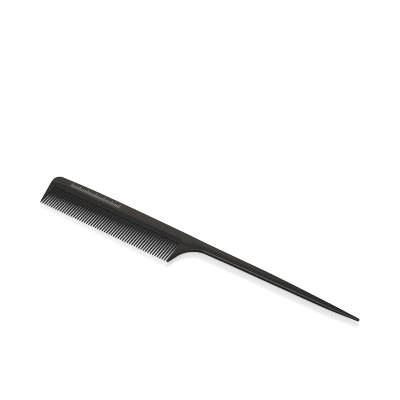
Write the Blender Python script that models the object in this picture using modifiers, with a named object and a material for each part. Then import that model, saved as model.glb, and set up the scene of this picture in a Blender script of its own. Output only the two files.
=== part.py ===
"""Rat tail comb: a flat spine, a row of fine wedge teeth between two guard teeth,
a curved shoulder and a long tail with a blunt point.

Layout axes: X runs along the comb from the toe to the point of the tail, Y runs up from the
tooth tips to the back of the spine, and Z is the thickness, zero at the mid-plane.
The datum empty then puts the middle of the comb's underside at the world origin."""

import math

import bmesh
import bpy

MM = 0.001

# Teeth
PITCH = 1.75 * MM
FINE_TEETH = 55
ROOT_Y = 16.8 * MM              # tooth length, tips to root line
TIP_WIDTH = 0.72 * MM
ROOT_WIDTH = 0.90 * MM
TIP_THICKNESS = 0.90 * MM
ROOT_THICKNESS = 2.50 * MM
GUARD_ROOT_THICKNESS = 2.90 * MM
TOOTH_EDGE = 0.24 * MM          # rounding of a tooth's edges
GUARD_CLEARANCE = 1.04 * MM     # from an end fine tooth to its guard tooth, at the tips

# Spine and shoulder
THICKNESS = 3.5 * MM
FLAT_Y = 18.6 * MM              # below this line the two faces slope in to the roots
BACK_TOE_Y = 25.45 * MM
BACK_CROWN_X = 36.0 * MM
BACK_CROWN_Y = 26.5 * MM
TOE_X = -4.8 * MM
TOE_ROOT_X = -4.3 * MM
TOE_TIP_X = -0.15 * MM
TOE_CORNER = 4.7 * MM
HEEL_TIP_X = 99.1 * MM
HEEL_LEAN = 0.29                # run out per rise of the heel's straight edge
HEEL_RADIUS = 14.9 * MM
EDGE = 0.9 * MM                 # rounding of the spine, shoulder and tail edges
GUARD_EDGE = 0.35 * MM

# Tail
SHOULDER_X = 100.6 * MM         # spine to shoulder
TAIL_X = 116.0 * MM             # shoulder to tail
POINT_X = 220.9 * MM
TAIL_STATIONS = (               # distance along the comb, centre height, width, thickness
    (TAIL_X, 21.90 * MM, 6.88 * MM, THICKNESS),
    (135.0 * MM, 21.92 * MM, 6.32 * MM, THICKNESS),
    (156.0 * MM, 21.86 * MM, 5.98 * MM, THICKNESS),
    (173.0 * MM, 21.65 * MM, 5.20 * MM, THICKNESS),
    (190.0 * MM, 21.29 * MM, 4.30 * MM, 3.4 * MM),
    (204.0 * MM, 21.10 * MM, 3.45 * MM, 2.9 * MM),
    (214.0 * MM, 21.12 * MM, 2.35 * MM, 2.2 * MM),
    (POINT_X, 21.09 * MM, 1.68 * MM, 1.6 * MM),
)

GAP = 0.3 * MM                  # left between neighbouring nodes

COLLECTION = "rat_tail_comb"
BLACK = (0.022, 0.021, 0.020)
DARK = (0.018, 0.018, 0.018)


def clear_scene():
    for obj in list(bpy.data.objects):
        bpy.data.objects.remove(obj, do_unlink=True)
    for collection in list(bpy.data.collections):
        bpy.data.collections.remove(collection)


def new_collection(name):
    collection = bpy.data.collections.new(name)
    bpy.context.scene.collection.children.link(collection)
    return collection


def plastic(name, colour, roughness):
    material = bpy.data.materials.new(name)
    material.use_nodes = True
    shader = material.node_tree.nodes["Principled BSDF"]
    shader.inputs["Base Color"].default_value = (*colour, 1.0)
    shader.inputs["Roughness"].default_value = roughness
    shader.inputs["Metallic"].default_value = 0.0
    material.diffuse_color = (*colour, 1.0)
    return material


def arc(centre, radius, start, end, steps):
    """Points on a circle from the start angle to the end angle, both included."""
    points = []
    for step in range(steps + 1):
        angle = start + (end - start) * step / steps
        points.append((centre[0] + radius * math.cos(angle), centre[1] + radius * math.sin(angle)))
    return points


def back_y(x):
    """Height of the back edge: a shallow crown that falls to the top of the tail."""
    tail_top = TAIL_STATIONS[0][1] + 0.5 * TAIL_STATIONS[0][2]
    if x < BACK_CROWN_X:
        share = (BACK_CROWN_X - x) / (BACK_CROWN_X - TOE_X)
        return BACK_CROWN_Y - (BACK_CROWN_Y - BACK_TOE_Y) * share ** 2
    share = (x - BACK_CROWN_X) / (TAIL_X - BACK_CROWN_X)
    return BACK_CROWN_Y - (BACK_CROWN_Y - tail_top) * share ** 1.5


def heel_arc():
    """The hollow curve from the heel's straight edge to the underside of the tail."""
    tail_bottom = TAIL_STATIONS[0][1] - 0.5 * TAIL_STATIONS[0][2]
    lean = math.atan(HEEL_LEAN)
    reach = HEEL_RADIUS * math.tan(0.5 * (math.pi / 2 - lean))
    corner_x = HEEL_TIP_X + HEEL_LEAN * tail_bottom
    centre = (corner_x + reach, tail_bottom - HEEL_RADIUS)
    return centre, math.pi - lean, math.pi / 2


def heel_point(y):
    """Where the heel's outer edge is at height y, straight and then on its arc."""
    centre, start, _ = heel_arc()
    if y < centre[1] + HEEL_RADIUS * math.sin(start):
        return HEEL_TIP_X + HEEL_LEAN * y
    return centre[0] - math.sqrt(HEEL_RADIUS ** 2 - (y - centre[1]) ** 2)


def outline_mesh(name, points, thickness):
    """A closed plan outline filled and extruded to a slab, as a clean welded mesh."""
    curve = bpy.data.curves.new(name + "_outline", "CURVE")
    curve.dimensions = "2D"
    curve.fill_mode = "BOTH"
    curve.extrude = 0.5 * thickness
    spline = curve.splines.new("POLY")
    spline.points.add(len(points) - 1)
    for point, (x, y) in zip(spline.points, points):
        point.co = (x, y, 0.0, 1.0)
    spline.use_cyclic_u = True
    outline = bpy.data.objects.new(name + "_outline", curve)
    bpy.context.scene.collection.objects.link(outline)
    depsgraph = bpy.context.evaluated_depsgraph_get()
    mesh = bpy.data.meshes.new_from_object(outline.evaluated_get(depsgraph))
    mesh.name = name
    bpy.data.objects.remove(outline, do_unlink=True)
    bpy.data.curves.remove(curve)
    bm = bmesh.new()
    bm.from_mesh(mesh)
    bmesh.ops.remove_doubles(bm, verts=bm.verts, dist=0.001 * MM)
    bmesh.ops.dissolve_limit(bm, angle_limit=math.radians(0.2), verts=bm.verts, edges=bm.edges)
    bmesh.ops.recalc_face_normals(bm, faces=bm.faces)
    bm.to_mesh(mesh)
    bm.free()
    return mesh


def slope_to_root(mesh):
    """Bring both faces in, from full thickness at FLAT_Y to ROOT_THICKNESS at ROOT_Y."""
    bm = bmesh.new()
    bm.from_mesh(mesh)
    geometry = list(bm.verts) + list(bm.edges) + list(bm.faces)
    bmesh.ops.bisect_plane(bm, geom=geometry, dist=0.001 * MM, plane_co=(0.0, FLAT_Y, 0.0),
                           plane_no=(0.0, 1.0, 0.0))
    for vert in bm.verts:
        share = min(1.0, (FLAT_Y - vert.co.y) / (FLAT_Y - ROOT_Y))
        if share > 0.001:
            vert.co.z *= 1.0 - share * (1.0 - ROOT_THICKNESS / THICKNESS)
    bm.to_mesh(mesh)
    bm.free()


def follow_wedge(mesh):
    """Give a slab a guard tooth's thickness at every height, a straight taper to the tip."""
    for vert in mesh.vertices:
        side = 1.0 if vert.co.z > 0.0 else -1.0
        thickness = TIP_THICKNESS + (GUARD_ROOT_THICKNESS - TIP_THICKNESS) * vert.co.y / ROOT_Y
        vert.co.z = side * 0.5 * thickness


def add_part(collection, datum, name, mesh, material):
    part = bpy.data.objects.new(name, mesh)
    part.parent = datum
    collection.objects.link(part)
    if not mesh.materials:
        mesh.materials.append(material)
    return part


def at(coordinate, value):
    return abs(coordinate - value) < 0.01 * MM


def mark_rims(mesh, is_seam):
    """Weight the edges where a face meets the outline's wall, leaving out those on a seam."""
    weights = mesh.attributes.new("bevel_weight_edge", "FLOAT", "EDGE")
    for edge in mesh.edges:
        a, b = (mesh.vertices[index].co for index in edge.vertices)
        is_rim = a.z * b.z > 0.0 and not is_seam(a, b)
        weights.data[edge.index].value = 1.0 if is_rim else 0.0


def round_edges(part, width, segments):
    bevel = part.modifiers.new("edge_rounding", "BEVEL")
    bevel.limit_method = "WEIGHT"
    bevel.width = width
    bevel.segments = segments
    part.data.shade_smooth()
    part.data.set_sharp_from_angle(angle=math.radians(40))


def back_points(start_x, end_x, steps):
    """Points along the back edge from start_x to end_x."""
    points = []
    for step in range(steps + 1):
        x = start_x + (end_x - start_x) * step / steps
        points.append((x, back_y(x)))
    return points


def make_spine(collection, datum):
    """The back of the comb: rounded toe corner, crowned back edge and straight root line."""
    corner = (TOE_X + TOE_CORNER, back_y(TOE_X + TOE_CORNER) - TOE_CORNER)
    points = [(TOE_ROOT_X, ROOT_Y)]
    points += arc(corner, TOE_CORNER, math.pi, math.pi / 2, 7)
    points += back_points(corner[0], SHOULDER_X, 8)[1:]
    points.append((SHOULDER_X, ROOT_Y))
    mesh = outline_mesh("spine", points, THICKNESS)
    slope_to_root(mesh)

    def is_seam(a, b):
        return (a.y < ROOT_Y + GAP and b.y < ROOT_Y + GAP or at(a.x, SHOULDER_X) and at(b.x, SHOULDER_X)
                or at(a.y, FLAT_Y) and at(b.y, FLAT_Y))

    mark_rims(mesh, is_seam)
    spine = add_part(collection, datum, "spine", mesh, plastic("spine_plastic", BLACK, 0.42))
    round_edges(spine, EDGE, 3)


def make_shoulder(collection, datum):
    """The heel's upper part, where the back runs on and the hollow curve narrows it to the tail."""
    start_x = SHOULDER_X + GAP
    end_x = TAIL_X
    centre, _, top = heel_arc()
    low = math.asin((ROOT_Y - centre[1]) / HEEL_RADIUS)
    points = [(start_x, ROOT_Y)]
    points += back_points(start_x, end_x, 3)
    points.append((end_x, centre[1] + HEEL_RADIUS))
    points += arc(centre, HEEL_RADIUS, top, math.pi - low, 5)
    mesh = outline_mesh("shoulder", points, THICKNESS)
    slope_to_root(mesh)

    def is_seam(a, b):
        return (a.y < ROOT_Y + GAP and b.y < ROOT_Y + GAP or at(a.x, start_x) and at(b.x, start_x)
                or at(a.x, end_x) and at(b.x, end_x) or at(a.y, FLAT_Y) and at(b.y, FLAT_Y))

    mark_rims(mesh, is_seam)
    shoulder = add_part(collection, datum, "shoulder", mesh, plastic("shoulder_plastic", BLACK, 0.42))
    round_edges(shoulder, EDGE, 3)


def make_guard_tooth(collection, datum, name, outer, inner_tip_x, inner_root_x):
    """An end tooth: its outer edge runs down to the tip, its inner flank is like a fine tooth's."""
    tip_x = outer[-1][0]
    radius = 0.5 * abs(inner_tip_x - tip_x)
    middle = 0.5 * (inner_tip_x + tip_x)
    turn = 1.0 if tip_x < middle else -1.0
    tip = []
    for x, y in arc((0.0, radius), radius, math.pi, 2 * math.pi, 6):
        tip.append((middle + turn * x, y))
    points = outer[:-1] + tip + [(inner_root_x, outer[0][1])]
    mesh = outline_mesh(name, points, THICKNESS)
    follow_wedge(mesh)
    root_y = outer[0][1]
    mark_rims(mesh, lambda a, b: at(a.y, root_y) and at(b.y, root_y))
    guard = add_part(collection, datum, name, mesh, plastic(name + "_plastic", DARK, 0.40))
    round_edges(guard, GUARD_EDGE, 2)


def make_guard_teeth(collection, datum):
    root_y = ROOT_Y - GAP
    tip_reach = 0.5 * TIP_WIDTH + GUARD_CLEARANCE
    root_reach = tip_reach - 0.5 * (ROOT_WIDTH - TIP_WIDTH)
    toe_outer = [(TOE_ROOT_X, root_y), (TOE_TIP_X, 0.5 * MM)]
    make_guard_tooth(collection, datum, "toe_guard_tooth", toe_outer,
                     PITCH - tip_reach, PITCH - root_reach)
    last_x = FINE_TEETH * PITCH
    centre, lean_angle, _ = heel_arc()
    low = math.pi - math.asin((root_y - centre[1]) / HEEL_RADIUS)
    heel_outer = arc(centre, HEEL_RADIUS, low, lean_angle, 6) + [(HEEL_TIP_X, 0.5 * MM)]
    make_guard_tooth(collection, datum, "heel_guard_tooth", heel_outer,
                     last_x + tip_reach, last_x + root_reach)


def tooth_mesh():
    """One fine tooth: a block tapered in width and thickness, with rounded edges and tip."""
    bm = bmesh.new()
    bmesh.ops.create_cube(bm, size=1.0)
    for vert in bm.verts:
        is_root = vert.co.y > 0.0
        width = ROOT_WIDTH if is_root else TIP_WIDTH
        thickness = ROOT_THICKNESS if is_root else TIP_THICKNESS
        height = ROOT_Y - GAP if is_root else 0.0
        vert.co = (vert.co.x * width, height, vert.co.z * thickness)
    mesh = bpy.data.meshes.new("fine_tooth")
    bm.to_mesh(mesh)
    bm.free()
    weights = mesh.attributes.new("bevel_weight_edge", "FLOAT", "EDGE")
    for edge in mesh.edges:
        a, b = (mesh.vertices[index].co for index in edge.vertices)
        is_root_edge = a.y > GAP and b.y > GAP
        weights.data[edge.index].value = 0.0 if is_root_edge else 1.0
    return mesh


def make_fine_teeth(collection, datum):
    mesh = tooth_mesh()
    material = plastic("fine_tooth_plastic", DARK, 0.40)
    for number in range(1, FINE_TEETH + 1):
        tooth = add_part(collection, datum, "fine_tooth_%02d" % number, mesh, material)
        tooth.location = (number * PITCH, 0.0, 0.0)
        round_edges(tooth, TOOTH_EDGE, 2)


def make_tail(collection, datum):
    """A block drawn out along its stations to the blunt point, with rounded edges."""
    bm = bmesh.new()
    bmesh.ops.create_cube(bm, size=1.0)
    spans = len(TAIL_STATIONS) - 1
    for number in range(1, spans):
        geometry = list(bm.verts) + list(bm.edges) + list(bm.faces)
        bmesh.ops.bisect_plane(bm, geom=geometry, plane_co=(number / spans - 0.5, 0.0, 0.0),
                               plane_no=(1.0, 0.0, 0.0))
    for vert in bm.verts:
        x, centre_y, width, thickness = TAIL_STATIONS[round((vert.co.x + 0.5) * spans)]
        start = GAP if x == TAIL_X else 0.0
        vert.co = (x + start, centre_y + vert.co.y * width, vert.co.z * thickness)
    mesh = bpy.data.meshes.new("tail")
    bm.to_mesh(mesh)
    bm.free()
    weights = mesh.attributes.new("bevel_weight_edge", "FLOAT", "EDGE")
    for edge in mesh.edges:
        a, b = (mesh.vertices[index].co for index in edge.vertices)
        runs_along = abs(a.x - b.x) > GAP
        at_point = at(a.x, POINT_X) and at(b.x, POINT_X)
        weights.data[edge.index].value = 1.0 if runs_along or at_point else 0.0
    tail = add_part(collection, datum, "tail", mesh, plastic("tail_plastic", BLACK, 0.42))
    round_edges(tail, EDGE, 3)


def make_datum(collection):
    """An empty that carries every part and sets the comb's underside middle at the origin."""
    datum = bpy.data.objects.new("comb_datum", None)
    datum.empty_display_size = 10 * MM
    datum.location = (-0.5 * (TOE_X + POINT_X), -0.5 * BACK_CROWN_Y, 0.5 * THICKNESS)
    collection.objects.link(datum)
    return datum


def main():
    clear_scene()
    collection = new_collection(COLLECTION)
    datum = make_datum(collection)
    make_spine(collection, datum)
    make_guard_teeth(collection, datum)
    make_fine_teeth(collection, datum)
    make_shoulder(collection, datum)
    make_tail(collection, datum)
    bpy.context.view_layer.update()


main()
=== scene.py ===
"""Looks of the rat tail comb: fine moulded meshes for every CAD region, a generic pad print,
carbon-filled black plastic, a pale floor and soft studio light."""

import math

import bmesh
import bpy
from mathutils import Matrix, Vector


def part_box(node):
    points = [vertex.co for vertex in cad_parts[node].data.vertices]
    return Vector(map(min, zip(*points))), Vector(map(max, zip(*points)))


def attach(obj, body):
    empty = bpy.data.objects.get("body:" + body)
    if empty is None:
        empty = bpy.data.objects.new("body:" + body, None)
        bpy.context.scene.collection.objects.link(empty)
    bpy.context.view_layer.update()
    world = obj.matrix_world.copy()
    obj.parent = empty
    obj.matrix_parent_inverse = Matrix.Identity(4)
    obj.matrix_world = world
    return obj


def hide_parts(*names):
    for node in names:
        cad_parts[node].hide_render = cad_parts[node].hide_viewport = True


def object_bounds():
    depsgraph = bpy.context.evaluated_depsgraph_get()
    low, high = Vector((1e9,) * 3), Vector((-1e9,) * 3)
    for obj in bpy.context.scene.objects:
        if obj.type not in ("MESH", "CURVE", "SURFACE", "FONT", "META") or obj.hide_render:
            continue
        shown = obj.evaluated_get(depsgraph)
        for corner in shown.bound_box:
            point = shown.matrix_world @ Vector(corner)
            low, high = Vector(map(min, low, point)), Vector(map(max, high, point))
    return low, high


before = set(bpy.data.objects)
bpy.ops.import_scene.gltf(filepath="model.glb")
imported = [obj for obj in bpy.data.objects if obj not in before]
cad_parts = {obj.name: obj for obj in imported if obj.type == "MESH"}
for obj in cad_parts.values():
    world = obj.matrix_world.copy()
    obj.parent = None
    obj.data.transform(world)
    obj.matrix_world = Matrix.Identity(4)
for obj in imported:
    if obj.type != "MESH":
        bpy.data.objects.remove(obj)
cad_low, cad_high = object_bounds()

MM = 0.001

# Layout: X from one pitch before the first fine tooth, Y up from the tooth tips, Z from the mid-plane.
TOE_X = -4.8 * MM
ORIGIN = Vector((cad_low.x - TOE_X, cad_low.y, 0.5 * (cad_low.z + cad_high.z)))
CLEARANCE = 0.02 * MM                  # keeps the fine surface just inside the CAD one
HALF = 0.5 * (cad_high.z - cad_low.z) - CLEARANCE
POINT_X = cad_high.x - ORIGIN.x - CLEARANCE

# Teeth
TOOTH_NAME = "fine_tooth_%02d"
FINE_TEETH = sum(1 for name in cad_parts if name.startswith("fine_tooth"))
PITCH = (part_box(TOOTH_NAME % FINE_TEETH)[0].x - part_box(TOOTH_NAME % 1)[0].x) / (FINE_TEETH - 1)
LAST_TOOTH_X = FINE_TEETH * PITCH
TIP_HALF = 0.36 * MM                   # half a fine tooth's width, at the tip
ROOT_HALF = 0.45 * MM                  # and at the root
ROOT_Y = 16.8 * MM                     # crest of the slot between two teeth
SLOT_RADIUS = 0.5 * PITCH - ROOT_HALF
STUB_Y = ROOT_Y - SLOT_RADIUS          # where a tooth leaves the spine
GUARD_REACH = 1.39 * MM                # from an end tooth's middle to the guard tooth's side, at the tips

# Thickness of the tooth wedge, as shares of the flat spine's
FLAT_HALF = 1.75 * MM
TIP_SHARE = 0.45 * MM / FLAT_HALF
ROOT_SHARE = 1.25 * MM / FLAT_HALF
GUARD_SHARE = 1.50 * MM / FLAT_HALF    # the guard teeth are stouter at their roots
FLAT_Y = 19.7 * MM                     # the slope to the roots starts here, very gently
GUARD_FLAT_Y = 18.2 * MM               # and here above the guard teeth
TOE_BLEND = (-0.3 * PITCH, 0.9 * PITCH)                   # here the stouter section turns into the fine teeth's
HEEL_BLEND = (LAST_TOOTH_X, LAST_TOOTH_X + 1.3 * PITCH)   # and here back again

# Spine, heel and tail
TOE_ROOT_X = -4.3 * MM                 # the toe's side at the roots
TOE_TIP_X = -0.15 * MM                 # and at the tips
TOE_CORNER = 4.7 * MM                  # radius between the toe's side and the back
BACK_TOE_Y = 25.45 * MM
BACK_CROWN_X = 36.0 * MM
BACK_CROWN_Y = 26.5 * MM - CLEARANCE
BACK_BENDS = (2.0, 1.5)                # powers of its fall from the crown, to the toe and to the tail
TOE_BEND = 1.36                        # power by which the toe's side eases upright
HEEL_TIP_X = 99.1 * MM
HEEL_LEAN = 0.29                       # the heel's side moves this far in X for each step in Y
HEEL_RADIUS = 14.9 * MM
SHOULDER_X = 100.6 * MM
TAIL_X = 116.0 * MM
TAIL_BLEND = (100.0 * MM, 112.0 * MM)  # here the head's section turns into the tail's
TAIL_CROWN = 0.15                      # how much thinner the tail is at its edges than along its middle
TAIL = (                               # along the comb, centre height, width, share of thickness
    (TAIL_X, 21.90 * MM, 6.88 * MM, 1.0),
    (135.0 * MM, 21.92 * MM, 6.32 * MM, 1.0),
    (156.0 * MM, 21.86 * MM, 5.98 * MM, 1.0),
    (173.0 * MM, 21.65 * MM, 5.20 * MM, 1.0),
    (190.0 * MM, 21.29 * MM, 4.30 * MM, 0.97),
    (204.0 * MM, 21.10 * MM, 3.45 * MM, 0.83),
    (214.0 * MM, 21.12 * MM, 2.35 * MM, 0.63),
    (POINT_X, 21.09 * MM, 1.68 * MM, 0.46),
)
TAIL_BAND = (18.8 * MM, 25.0 * MM)     # the tail and the shoulder lie between these heights
POINT_ROOM = 0.6 * MM                  # the part of the point that isn't cut across

# Roundings of the edges: reach is how far in from the outline, and drop how far down from the face, which
# is less where the comb is thinner
EDGE = 0.9 * MM                        # both, on the spine, shoulder and tail
TAIL_ROOM = 0.42                       # the most of the tail's width that it may take
TOOTH_ROUND = 0.29 * MM                # reach on the teeth
TOOTH_DROP = 0.6 * MM
GUARD_DROP = 1.0 * MM                  # at a guard tooth's root
GUARD_BEND = 0.8                       # power by which its reach grows towards the root
CREST_REACH = 0.20 * MM                # at the crest of a slot
CREST_DROP = 0.15 * MM
CREST_PAINTED_LIGHT = 0.9                       # how much painted light lightens the wall there
PAINTED_LIGHT_BLEND = (13.0 * MM, 15.5 * MM)    # heights between which painted light fades in on a tooth's flank
SEAM = "seam"                          # an outline edge that meets the next region, with no rounding
RINGS = 7                              # steps round an edge
INNER_RING = 1.15                      # a level ring inside the rounding, as a multiple of its reach
SLANT_LIMIT = 0.5                      # a slanting seam lengthens a reach to twice its size at most
WELD = 1e-7                            # points this close are one point
SHARP_ANGLE = math.radians(50.0)


# ---------------------------------------------------------------- outline helpers

def arc(centre, radius, start, end, steps):
    """Points on a circle from the start angle to the end angle, both included."""
    points = []
    for step in range(steps + 1):
        angle = start + (end - start) * step / steps
        points.append(Vector((centre[0] + radius * math.cos(angle), centre[1] + radius * math.sin(angle))))
    return points


def spread(start, end, steps):
    """Even steps from start to end, both included."""
    return [start + (end - start) * step / steps for step in range(steps + 1)]


def share_of(value, low, high):
    """How far a value is from low to high, from 0 to 1."""
    return min(1.0, max(0.0, (value - low) / (high - low)))


def smooth_step(value, low, high):
    t = share_of(value, low, high)
    return t * t * (3.0 - 2.0 * t)


def smooth_table(table, x, column):
    """A value from a table by a smooth curve through its rows."""
    last = len(table) - 1
    row = 0
    while row < last - 1 and x > table[row + 1][0]:
        row += 1

    def slope(index):
        low, high = max(0, index - 1), min(last, index + 1)
        return (table[high][column] - table[low][column]) / (table[high][0] - table[low][0])

    span = table[row + 1][0] - table[row][0]
    t = share_of(x, table[row][0], table[row + 1][0])
    a, b = table[row][column], table[row + 1][column]
    rise = slope(row) * span
    fall = slope(row + 1) * span
    return (a * (2 * t ** 3 - 3 * t ** 2 + 1) + rise * (t ** 3 - 2 * t ** 2 + t)
            + b * (3 * t ** 2 - 2 * t ** 3) + fall * (t ** 3 - t ** 2))


def tail_edge(x, side):
    """Height of the tail's upper edge, with side 1, or its lower edge, with side -1."""
    return smooth_table(TAIL, x, 1) + side * 0.5 * smooth_table(TAIL, x, 2)


def back_y(x):
    """Height of the back edge: a shallow crown that falls to the top of the tail."""
    if x < BACK_CROWN_X:
        share = (BACK_CROWN_X - x) / (BACK_CROWN_X - TOE_X)
        return BACK_CROWN_Y - (BACK_CROWN_Y - BACK_TOE_Y) * share ** BACK_BENDS[0]
    share = (x - BACK_CROWN_X) / (TAIL_X - BACK_CROWN_X)
    return BACK_CROWN_Y - (BACK_CROWN_Y - tail_edge(TAIL_X, 1)) * share ** BACK_BENDS[1]


def toe_side_x(y):
    """The toe end's outer edge: straight on the guard tooth, then easing upright."""
    if y < ROOT_Y:
        return TOE_TIP_X + (TOE_ROOT_X - TOE_TIP_X) * y / ROOT_Y
    corner_y = back_y(TOE_X + TOE_CORNER) - TOE_CORNER
    share = max(0.0, (corner_y - y) / (corner_y - ROOT_Y))
    return TOE_X + CLEARANCE + (TOE_ROOT_X - TOE_X - CLEARANCE) * share ** TOE_BEND


def heel_arc():
    """Centre of the hollow curve from the heel to the underside of the tail, and its angles at the
    heel, at the roots' height and at the tail."""
    lean = math.atan(HEEL_LEAN)
    bottom = tail_edge(TAIL_X, -1)
    reach = HEEL_RADIUS * math.tan(0.5 * (math.pi / 2 - lean))
    centre = (HEEL_TIP_X + HEEL_LEAN * bottom + reach, bottom - HEEL_RADIUS)
    at_roots = math.pi - math.asin((STUB_Y - centre[1]) / HEEL_RADIUS)
    return centre, math.pi - lean, at_roots, math.pi / 2


# ---------------------------------------------------------------- thickness

def wedge_share(y, root_share, flat_y):
    """A straight wedge up the teeth, then a soft slope to the flat."""
    lean = (root_share - TIP_SHARE) / ROOT_Y
    if y < STUB_Y:
        return TIP_SHARE + lean * y
    if y > flat_y:
        return 1.0
    span = flat_y - STUB_Y
    t = (y - STUB_Y) / span
    start = TIP_SHARE + lean * STUB_Y
    return start + (1.0 - start) * (3 * t ** 2 - 2 * t ** 3) + lean * span * (t ** 3 - 2 * t ** 2 + t)


def head_share(x, y):
    """The head's thickness. Past the fine teeth, at both ends, it stays full further down."""
    middle = smooth_step(x, *TOE_BLEND) * (1.0 - smooth_step(x, *HEEL_BLEND))
    fine = wedge_share(y, ROOT_SHARE, FLAT_Y)
    guard = wedge_share(y, GUARD_SHARE, GUARD_FLAT_Y)
    return guard + (fine - guard) * middle


def thickness_share(x, y):
    """Thickness at a place in plan, as a share of the flat spine's. The tail is softly crowned,
    and along the shoulder the head's section turns into the tail's."""
    across = 2.0 * (y - smooth_table(TAIL, x, 1)) / smooth_table(TAIL, x, 2)
    crowned = smooth_table(TAIL, x, 3) * (1.0 - TAIL_CROWN * min(1.0, across ** 2))
    head = head_share(x, y)
    return head + (crowned - head) * smooth_step(x, *TAIL_BLEND)


# ---------------------------------------------------------------- roundings
# Each gives, at a point of the outline, the reach in X, the reach in Y, the drop, and how much painted light
# lightens the wall.

def edge_round(point):
    """The spine, shoulder and tail edge, a little tighter towards the point of the tail."""
    if point.x < TAIL_X:
        return EDGE, EDGE, EDGE, 0.0
    reach = min(EDGE, TAIL_ROOM * smooth_table(TAIL, point.x, 2))
    return reach, reach, EDGE, 0.0


def guard_round(point):
    """A guard tooth's outer edge, which sharpens from the spine's rounding to the tip's."""
    share = share_of(point.y, 0.0, STUB_Y)
    reach = TOOTH_ROUND + (EDGE - TOOTH_ROUND) * share ** GUARD_BEND
    return reach, reach, TOOTH_DROP + (GUARD_DROP - TOOTH_DROP) * share, 0.0


def tooth_round(point):
    """A tooth's edge; near the roots its flank gets painted light, a lighter grey as in the slots."""
    return TOOTH_ROUND, TOOTH_ROUND, TOOTH_DROP, smooth_step(point.y, *PAINTED_LIGHT_BLEND)


def slot_round(point):
    """Up the end of a slot the tooth's rounding shrinks to a fine one at the crest."""
    share = share_of(point.y, STUB_Y, ROOT_Y)
    # The slot's wall gets painted light, a lighter grey, right up to the crest.
    return TOOTH_ROUND, CREST_REACH, TOOTH_DROP + (CREST_DROP - TOOTH_DROP) * share, CREST_PAINTED_LIGHT


def run(points, rounding):
    """Outline points whose edges all have one rounding. The last point is left to the next run."""
    return [(Vector(point), rounding) for point in points[:-1]]


# ---------------------------------------------------------------- the moulded mesh

def inward(a, b):
    """The direction into the slab from an outline edge, and the direction along it."""
    along = (b - a).normalized()
    return Vector((-along.y, along.x)), along


def corner_reach(before, here, after, rounding_in, rounding_out):
    """How far, and which way, the rounding carries an outline point in plan, how deep it drops,
    and how much painted light lightens the wall."""
    normal_in, along_in = inward(before, here)
    normal_out, along_out = inward(here, after)
    if rounding_in == SEAM and rounding_out == SEAM:
        return Vector((0.0, 0.0)), 0.0, 0.0
    if rounding_in == SEAM:
        reach_x, reach_y, drop, painted_light = rounding_out(here)
        back = -along_in
        return back * (reach_x / max(SLANT_LIMIT, normal_out.dot(back))), drop, painted_light
    if rounding_out == SEAM:
        reach_x, reach_y, drop, painted_light = rounding_in(here)
        return along_out * (reach_x / max(SLANT_LIMIT, normal_in.dot(along_out))), drop, painted_light
    mitre = (normal_in + normal_out) / (1.0 + normal_in.dot(normal_out))
    first, second = rounding_in(here), rounding_out(here)
    reach_x, reach_y, drop, painted_light = (0.5 * (a + b) for a, b in zip(first, second))
    return Vector((mitre.x * reach_x, mitre.y * reach_y)), drop, painted_light


def rounded_slab(outline):
    """A slab of the outline's shape, with its rims rounded in rings, in layout coordinates."""
    bm = bmesh.new()
    rim_layer = bm.verts.layers.float.new("rim")
    # The 'slot' layer holds painted light: how far the base colour is lightened to stand in for light in the
    # slots.
    painted_light_layer = bm.verts.layers.float.new("slot")
    count = len(outline)
    corners = []
    for index, (point, rounding) in enumerate(outline):
        before, rounding_in = outline[index - 1]
        after = outline[(index + 1) % count][0]
        corners.append((point, *corner_reach(before, point, after, rounding_in, rounding)))
    levels = []
    for step in range(RINGS + 1):
        turn = 0.5 * math.pi * step / RINGS
        levels.append((1.0 - math.cos(turn), math.sin(turn), math.sin(2.0 * turn)))
    levels.append((INNER_RING, 1.0, 0.0))
    rings = {}
    for side in (1.0, -1.0):
        rings[side] = []
        for out, rise, rim in levels:
            ring = []
            for point, reach, drop, painted_light in corners:
                place = point + reach * out
                vert = bm.verts.new((place.x, place.y, side * (HALF - drop + drop * rise)))
                vert[rim_layer] = rim if drop > 0.0 else 0.0
                # Painted light on the wall, fading out up the rounding.
                vert[painted_light_layer] = painted_light * (1.0 - rise)
                ring.append(vert)
            rings[side].append(ring)
        for low, high in zip(rings[side], rings[side][1:]):
            for index in range(count):
                follow = (index + 1) % count
                bm.faces.new((low[index], low[follow], high[follow], high[index]))
        bm.faces.new(rings[side][-1])
    for index in range(count):
        follow = (index + 1) % count
        top, bottom = rings[1.0][0], rings[-1.0][0]
        bm.faces.new((bottom[index], bottom[follow], top[follow], top[index]))
    bmesh.ops.remove_doubles(bm, verts=bm.verts, dist=WELD)
    bmesh.ops.dissolve_degenerate(bm, dist=WELD, edges=bm.edges)
    return bm


def cut_across(bm, normal, places):
    """Divides the slab at places along an axis, so its faces can follow the thickness there."""
    for place in places:
        geometry = list(bm.verts) + list(bm.edges) + list(bm.faces)
        bmesh.ops.bisect_plane(bm, geom=geometry, dist=WELD, plane_co=normal * place, plane_no=normal)


def moulded(name, outline, along=(), up=()):
    """One region of the moulding, which stands for its CAD node."""
    bm = rounded_slab(outline)
    cut_across(bm, Vector((1.0, 0.0, 0.0)), along)
    cut_across(bm, Vector((0.0, 1.0, 0.0)), up)
    for vert in bm.verts:
        vert.co.z *= thickness_share(vert.co.x, vert.co.y)
    bmesh.ops.recalc_face_normals(bm, faces=bm.faces)
    bmesh.ops.translate(bm, verts=bm.verts, vec=ORIGIN)
    mesh = bpy.data.meshes.new(name + "_moulded")
    bm.to_mesh(mesh)
    bm.free()
    mesh.shade_smooth()
    mesh.set_sharp_from_angle(angle=SHARP_ANGLE)
    piece = bpy.data.objects.new(name + "_moulded", mesh)
    bpy.context.scene.collection.objects.link(piece)
    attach(piece, "root")
    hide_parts(name)
    return piece


# ---------------------------------------------------------------- the regions

# Heights at which the faces are cut, to follow the slope above the teeth and the crown of the tail
SLOPE_PLACES = spread(STUB_Y, FLAT_Y, steps=10)[1:]
CROWN_PLACES = spread(*TAIL_BAND, steps=12)


def slot_x(number):
    """Middle of a slot; slot 0 lies between the toe guard tooth and the first fine tooth."""
    return (number + 0.5) * PITCH


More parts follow.
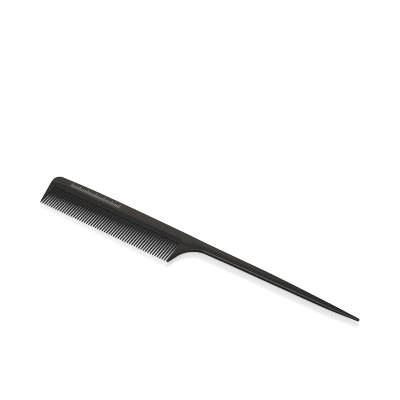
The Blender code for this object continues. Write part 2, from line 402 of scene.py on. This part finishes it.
def make_spine():
    outline = []
    first = Vector((toe_side_x(STUB_Y), STUB_Y))
    for number in range(FINE_TEETH + 1):
        centre = (slot_x(number), STUB_Y)
        arch = arc(centre, SLOT_RADIUS, math.pi, 0.0, steps=10)
        outline += run([first, arch[0]], SEAM) + run(arch, slot_round)
        first = arch[-1]
    shoulder = (SHOULDER_X, STUB_Y)
    top = (SHOULDER_X, back_y(SHOULDER_X))
    outline += run([first, shoulder, top], SEAM)
    corner_x = TOE_X + TOE_CORNER
    back = [(x, back_y(x)) for x in spread(SHOULDER_X, corner_x, steps=36)]
    centre = (corner_x + CLEARANCE, back_y(corner_x) - TOE_CORNER)
    corner = arc(centre, TOE_CORNER, 0.5 * math.pi, math.pi, steps=16)
    side = [(toe_side_x(y), y) for y in spread(corner[-1].y, STUB_Y, steps=10)]
    outline += run(back[:-1] + corner + side[1:], edge_round)
    toe_end = spread(TOE_X + EDGE, slot_x(1), steps=8)
    heel_end = spread(LAST_TOOTH_X, SHOULDER_X, steps=6)[:-1]
    return moulded("spine", outline, toe_end + heel_end, SLOPE_PLACES)


def flank(tip_x, tip_y, root_x):
    """Points up a straight tooth flank."""
    return [(tip_x + (root_x - tip_x) * share, tip_y + (STUB_Y - tip_y) * share)
            for share in spread(0.0, 1.0, steps=6)]


def make_fine_tooth(number):
    middle = number * PITCH
    left = flank(middle - TIP_HALF, TIP_HALF, middle - ROOT_HALF)[::-1]
    right = flank(middle + TIP_HALF, TIP_HALF, middle + ROOT_HALF)
    tip = arc((middle, TIP_HALF), TIP_HALF, math.pi, 2.0 * math.pi, steps=10)
    outline = run(left[:-1] + tip + right[1:], tooth_round)
    outline += run([right[-1], left[0]], SEAM)
    return moulded(TOOTH_NAME % number, outline)


def make_toe_guard():
    inner_tip = PITCH - GUARD_REACH
    radius = 0.5 * (inner_tip - TOE_TIP_X)
    outer = [(toe_side_x(y), y) for y in spread(STUB_Y, radius, steps=12)]
    tip = arc((TOE_TIP_X + radius, radius), radius, math.pi, 2.0 * math.pi, steps=12)
    inner = flank(inner_tip, radius, slot_x(0) - SLOT_RADIUS)
    lowest = len(tip) // 2
    outline = run(outer[:-1] + tip[:lowest + 1], guard_round) + run(tip[lowest:] + inner[1:], tooth_round)
    outline += run([inner[-1], outer[0]], SEAM)
    return moulded("toe_guard_tooth", outline)


def make_heel_guard():
    inner_tip = LAST_TOOTH_X + GUARD_REACH
    radius = 0.5 * (HEEL_TIP_X - inner_tip)
    inner = flank(inner_tip, radius, slot_x(FINE_TEETH) + SLOT_RADIUS)[::-1]
    tip = arc((inner_tip + radius, radius), radius, math.pi, 2.0 * math.pi, steps=12)
    lowest = len(tip) // 2
    centre, at_heel, at_roots, _ = heel_arc()
    straight_end = centre[1] + HEEL_RADIUS * math.sin(at_heel)
    straight = [(HEEL_TIP_X + HEEL_LEAN * y, y) for y in spread(radius, straight_end, steps=6)]
    hollow = arc(centre, HEEL_RADIUS, at_heel, at_roots, steps=12)
    outline = run(inner[:-1] + tip[:lowest + 1], tooth_round)
    outline += run(tip[lowest:-1] + straight[:-1] + hollow, guard_round)
    outline += run([hollow[-1], inner[0]], SEAM)
    return moulded("heel_guard_tooth", outline)


def make_shoulder():
    centre, _, at_roots, at_tail = heel_arc()
    hollow = arc(centre, HEEL_RADIUS, at_roots, at_tail, steps=14)
    bottom = [(TAIL_X, tail_edge(TAIL_X, -1))]
    back = [(x, back_y(x)) for x in spread(TAIL_X, SHOULDER_X, steps=8)]
    outline = run([(SHOULDER_X, STUB_Y), hollow[0]], SEAM)
    outline += run(hollow + bottom, edge_round)
    outline += run(bottom + back[:1], SEAM) + run(back, edge_round)
    outline += run([back[-1], (SHOULDER_X, STUB_Y)], SEAM)
    along = spread(SHOULDER_X, TAIL_X, steps=6)[1:-1]
    return moulded("shoulder", outline, along, SLOPE_PLACES + CROWN_PLACES)


def make_tail():
    end_x = POINT_X - 0.5 * TAIL[-1][2]
    bottom = [(x, tail_edge(x, -1)) for x in spread(TAIL_X, end_x, steps=44)]
    top = [(x, tail_edge(x, 1)) for x in spread(end_x, TAIL_X, steps=44)]
    middle = 0.5 * (bottom[-1][1] + top[0][1])
    radius = 0.5 * (top[0][1] - bottom[-1][1])
    tip = arc((POINT_X - radius, middle), radius, -0.5 * math.pi, 0.5 * math.pi, steps=14)
    outline = run(bottom[:-1] + tip + top[1:], edge_round)
    outline += run([top[-1], bottom[0]], SEAM)
    along = spread(TAIL_X, POINT_X - POINT_ROOM, steps=40)[1:]
    return moulded("tail", outline, along, CROWN_PLACES)


# ---------------------------------------------------------------- materials

PLASTIC_TONES = ((0.0105, 0.0103, 0.0100, 1.0), (0.0150, 0.0147, 0.0142, 1.0))
PLASTIC_ROUGHNESS = (0.22, 0.31)
RIM_POLISH = -0.04                     # added to the roughness of a rim
# Painted light: a lighter grey that stands in for light on the slot walls and the flanks near the roots.
SLOT_PAINTED_LIGHT = (0.060, 0.060, 0.060, 1.0)
FLOW_SCALE = (60.0, 420.0, 420.0)      # per metre, so the flow is drawn out along the comb
GRAIN_SCALE = 5200.0                   # per metre
GRAIN_DEPTH = 0.04 * MM
GRAIN_STRENGTH = 0.12
INK_TONES = ((0.13, 0.13, 0.125, 1.0), (0.30, 0.30, 0.29, 1.0))
MOTTLE_SCALE = 2600.0                  # per metre


def node(tree, kind, **values):
    """A new node, with values for its inputs or, where it has none of that name, its settings."""
    made = tree.nodes.new(kind)
    for key, value in values.items():
        if key in made.inputs:
            made.inputs[key].default_value = value
        else:
            setattr(made, key, value)
    return made


def comb_plastic():
    """Carbon-filled black moulding: satin, a fine grain, faint flow along it, polished rims, and painted
    light that greys the slots and the tooth flanks near the roots."""
    material = bpy.data.materials.new("comb_plastic_satin")
    material.use_nodes = True
    tree = material.node_tree
    links = tree.links
    shader = tree.nodes["Principled BSDF"]
    shader.inputs["IOR"].default_value = 1.5
    place = node(tree, "ShaderNodeTexCoord")
    grain = node(tree, "ShaderNodeTexNoise", Scale=GRAIN_SCALE, Detail=2.0, Roughness=0.6)
    links.new(place.outputs["Object"], grain.inputs["Vector"])
    stretch = node(tree, "ShaderNodeMapping")
    stretch.inputs["Scale"].default_value = FLOW_SCALE
    links.new(place.outputs["Object"], stretch.inputs["Vector"])
    flow = node(tree, "ShaderNodeTexNoise", Scale=1.0, Detail=4.0, Roughness=0.55, Distortion=0.4)
    links.new(stretch.outputs["Vector"], flow.inputs["Vector"])
    rim = node(tree, "ShaderNodeAttribute", attribute_name="rim")

    tone = node(tree, "ShaderNodeMix", data_type="RGBA")
    tone.inputs["A"].default_value, tone.inputs["B"].default_value = PLASTIC_TONES
    links.new(flow.outputs["Fac"], tone.inputs["Factor"])
    # Painted light: the 'slot' attribute mixes a lighter grey into the base colour in the slots.
    slot = node(tree, "ShaderNodeAttribute", attribute_name="slot")
    colour = node(tree, "ShaderNodeMix", data_type="RGBA")
    colour.inputs["B"].default_value = SLOT_PAINTED_LIGHT
    links.new(slot.outputs["Fac"], colour.inputs["Factor"])
    links.new(tone.outputs["Result"], colour.inputs["A"])
    links.new(colour.outputs["Result"], shader.inputs["Base Color"])

    gloss = node(tree, "ShaderNodeMapRange")
    gloss.inputs["To Min"].default_value, gloss.inputs["To Max"].default_value = PLASTIC_ROUGHNESS
    links.new(flow.outputs["Fac"], gloss.inputs["Value"])
    polish = node(tree, "ShaderNodeMath", operation="MULTIPLY_ADD")
    polish.inputs[1].default_value = RIM_POLISH
    links.new(rim.outputs["Fac"], polish.inputs[0])
    links.new(gloss.outputs["Result"], polish.inputs[2])
    links.new(polish.outputs["Value"], shader.inputs["Roughness"])

    bump = node(tree, "ShaderNodeBump", Strength=GRAIN_STRENGTH, Distance=GRAIN_DEPTH)
    links.new(grain.outputs["Fac"], bump.inputs["Height"])
    links.new(bump.outputs["Normal"], shader.inputs["Normal"])
    return material


def print_ink():
    """Matt light grey ink, slightly uneven."""
    material = bpy.data.materials.new("print_ink_grey")
    material.use_nodes = True
    tree = material.node_tree
    shader = tree.nodes["Principled BSDF"]
    place = node(tree, "ShaderNodeTexCoord")
    mottle = node(tree, "ShaderNodeTexNoise", Scale=MOTTLE_SCALE, Detail=3.0, Roughness=0.7)
    tree.links.new(place.outputs["Object"], mottle.inputs["Vector"])
    tone = node(tree, "ShaderNodeMix", data_type="RGBA")
    tone.inputs["A"].default_value, tone.inputs["B"].default_value = INK_TONES
    tree.links.new(mottle.outputs["Fac"], tone.inputs["Factor"])
    tree.links.new(tone.outputs["Result"], shader.inputs["Base Color"])
    shader.inputs["Roughness"].default_value = 0.6
    return material


# ---------------------------------------------------------------- pad print

PRINT_X = 9.5 * MM
PRINT_Y = 21.1 * MM
PRINT_STEP = 1.05 * MM
PRINT_MARKS = 37
PRINT_WIDTH = 0.52 * MM
PRINT_HEIGHTS = (2.9 * MM, 1.9 * MM)   # of the tall ticks and of the others
PRINT_TALL = 6                         # every sixth tick is tall
PRINT_PROUD = 0.012 * MM


def make_print():
    """A plain graduated scale of ticks, on the flat of the spine."""
    bm = bmesh.new()
    for number in range(PRINT_MARKS):
        height = PRINT_HEIGHTS[0] if number % PRINT_TALL == 0 else PRINT_HEIGHTS[1]
        made = bmesh.ops.create_cube(bm, size=1.0)
        for vert in made["verts"]:
            vert.co = (PRINT_X + number * PRINT_STEP + vert.co.x * PRINT_WIDTH,
                       PRINT_Y + (vert.co.y + 0.5) * height,
                       HALF + vert.co.z * 2.0 * PRINT_PROUD)
    bmesh.ops.translate(bm, verts=bm.verts, vec=ORIGIN)
    mesh = bpy.data.meshes.new("printed_scale")
    bm.to_mesh(mesh)
    bm.free()
    mesh.materials.append(print_ink())
    piece = bpy.data.objects.new("printed_scale", mesh)
    bpy.context.scene.collection.objects.link(piece)
    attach(piece, "root")


# ---------------------------------------------------------------- floor, light and camera

FLOOR_SIZE = 6.0
FLOOR_GREY = (0.47, 0.47, 0.47, 1.0)   # what it scatters of the light on it
FLOOR_GLOW = 0.56                      # what it gives off itself


def make_floor():
    """A white floor lit evenly from within, as a light table is, so only soft shadows show on it."""
    bpy.ops.mesh.primitive_plane_add(size=FLOOR_SIZE, location=(0.0, 0.0, 0.0))
    floor = bpy.context.object
    floor.name = "studio_floor"
    material = bpy.data.materials.new("floor_white")
    material.use_nodes = True
    shader = material.node_tree.nodes["Principled BSDF"]
    shader.inputs["Base Color"].default_value = FLOOR_GREY
    shader.inputs["Roughness"].default_value = 1.0
    shader.inputs["Specular IOR Level"].default_value = 0.0
    shader.inputs["Emission Color"].default_value = (1.0, 1.0, 1.0, 1.0)
    shader.inputs["Emission Strength"].default_value = FLOOR_GLOW
    floor.data.materials.append(material)
    floor.visible_glossy = False


# The sky's levels. X, Y and Z are parts of the direction looked in: right, away and up.
SKY_LIGHT = 0.80                       # what it gives to matt surfaces
HORIZON_Z = (-0.02, 0.10)              # where it fades in
SKY_GLOSS = 0.21                       # what it shows in reflections, beyond the comb
LOW_GLOSS = 0.2 * SKY_GLOSS            # and near the horizon there
FAR_Z = (0.20, 0.75)
ZENITH_GLOSS = (0.56, 0.28)            # overhead, from left to right
ZENITH_X = (-0.38, -0.26)
ZENITH_Z = (0.72, 0.92)
FRONT_GLOSS = (3.5, 1.5)               # on the near side, a tall white wall that fades to the right
FRONT_X = (-0.33, -0.16)
FRONT_Y = (-0.35, 0.02)
BELOW_GLOSS = (0.10, 0.36)             # and below, from near to far
BELOW_Y = (-0.40, 0.20)
BELOW_Z = (-0.20, 0.10)
CAMERA_WHITE = 1.1                     # what the camera sees of it


def ramp(tree, source, span, start, end):
    """A smooth step of one number along a span, from start to end, each a number or a socket."""
    step = node(tree, "ShaderNodeMapRange", interpolation_type="SMOOTHSTEP")
    for name, value in zip(("From Min", "From Max", "To Min", "To Max"), (*span, start, end)):
        if isinstance(value, float):
            step.inputs[name].default_value = value
        else:
            tree.links.new(value, step.inputs[name])
    tree.links.new(source, step.inputs["Value"])
    return step.outputs["Result"]


def join(tree, factor, below, above):
    """Two shaders joined by a factor: the first at 0, the second at 1."""
    mix = node(tree, "ShaderNodeMixShader")
    tree.links.new(factor, mix.inputs[0])
    tree.links.new(below.outputs[0], mix.inputs[1])
    tree.links.new(above.outputs[0], mix.inputs[2])
    return mix


def make_world():
    """A soft studio: white to the camera, an even sky, and in reflections a bright near side."""
    world = bpy.data.worlds.new("studio")
    bpy.context.scene.world = world
    world.use_nodes = True
    tree = world.node_tree
    output = tree.nodes["World Output"]
    place = node(tree, "ShaderNodeTexCoord")
    split = node(tree, "ShaderNodeSeparateXYZ")
    tree.links.new(place.outputs["Generated"], split.inputs["Vector"])
    right, away, up = split.outputs
    light = ramp(tree, up, HORIZON_Z, 0.0, SKY_LIGHT)
    overhead = ramp(tree, right, ZENITH_X, *ZENITH_GLOSS)
    zenith = ramp(tree, up, ZENITH_Z, SKY_GLOSS, overhead)
    far = ramp(tree, up, FAR_Z, LOW_GLOSS, zenith)
    near = ramp(tree, right, FRONT_X, *FRONT_GLOSS)
    front = ramp(tree, away, FRONT_Y, near, far)
    below = ramp(tree, away, BELOW_Y, *BELOW_GLOSS)
    gloss = ramp(tree, up, BELOW_Z, below, front)
    skies = []
    for level in (light, gloss):
        sky = node(tree, "ShaderNodeBackground")
        tree.links.new(level, sky.inputs["Strength"])
        skies.append(sky)
    path = node(tree, "ShaderNodeLightPath")
    white = node(tree, "ShaderNodeBackground", Strength=CAMERA_WHITE)
    shader = join(tree, path.outputs["Is Glossy Ray"], *skies)
    shader = join(tree, path.outputs["Is Camera Ray"], shader, white)
    tree.links.new(shader.outputs[0], output.inputs["Surface"])


def direction(azimuth, elevation):
    """A direction from the comb, its azimuth counted from +Y towards -X, both in degrees."""
    azimuth, elevation = math.radians(azimuth), math.radians(elevation)
    return Vector((-math.sin(azimuth) * math.cos(elevation), math.cos(azimuth) * math.cos(elevation),
                   math.sin(elevation)))


def softbox(name, azimuth, elevation, distance, size, radiance, colour=(1.0, 1.0, 1.0)):
    """A rectangular light that faces the comb, with its long side level."""
    data = bpy.data.lights.new(name, "AREA")
    data.shape = "RECTANGLE"
    data.size, data.size_y = size
    data.energy = math.pi * size[0] * size[1] * radiance
    data.color = colour
    lamp = bpy.data.objects.new(name, data)
    lamp.location = direction(azimuth, elevation) * distance
    lamp.rotation_euler = (-lamp.location).to_track_quat("-Z", "Y").to_euler()
    bpy.context.scene.collection.objects.link(lamp)
    return lamp


def make_lights():
    """A warm softbox beyond the comb, and a fill beside it that throws the shadow and isn't reflected."""
    softbox("far_warm_softbox", azimuth=33.5, elevation=42.0, distance=1.2, size=(0.42, 0.27),
            radiance=1.5, colour=(1.0, 0.80, 0.64))
    fill = softbox("back_fill", azimuth=18.0, elevation=30.5, distance=1.2, size=(0.4, 0.25), radiance=40.0)
    fill.visible_glossy = False


CAMERA_PLACE = Vector((0.25754, -0.40676, 0.54420))
CAMERA_AZIMUTH = 31.69                 # in degrees, from straight in front of the comb towards its tail
CAMERA_ELEVATION = 45.73
CAMERA_LENS = 104.2


def make_camera():
    data = bpy.data.cameras.new("camera")
    data.lens = CAMERA_LENS
    data.sensor_width = 36.0
    data.clip_start = 0.01
    data.clip_end = 20.0
    camera = bpy.data.objects.new("camera", data)
    towards_camera = direction(180.0 + CAMERA_AZIMUTH, CAMERA_ELEVATION)
    camera.location = CAMERA_PLACE
    camera.rotation_euler = (-towards_camera).to_track_quat("-Z", "Y").to_euler()
    bpy.context.scene.collection.objects.link(camera)
    bpy.context.scene.camera = camera


# ---------------------------------------------------------------- the scene

plastic = comb_plastic()
regions = [make_spine(), make_toe_guard(), make_heel_guard(), make_shoulder(), make_tail()]
regions += [make_fine_tooth(number + 1) for number in range(FINE_TEETH)]
for region in regions:
    region.data.materials.append(plastic)
make_print()
make_floor()
make_world()
make_lights()
make_camera()
bpy.context.scene.view_settings.view_transform = "Standard"
bpy.context.scene.cycles.filter_width = 1.0

bpy.context.view_layer.update()
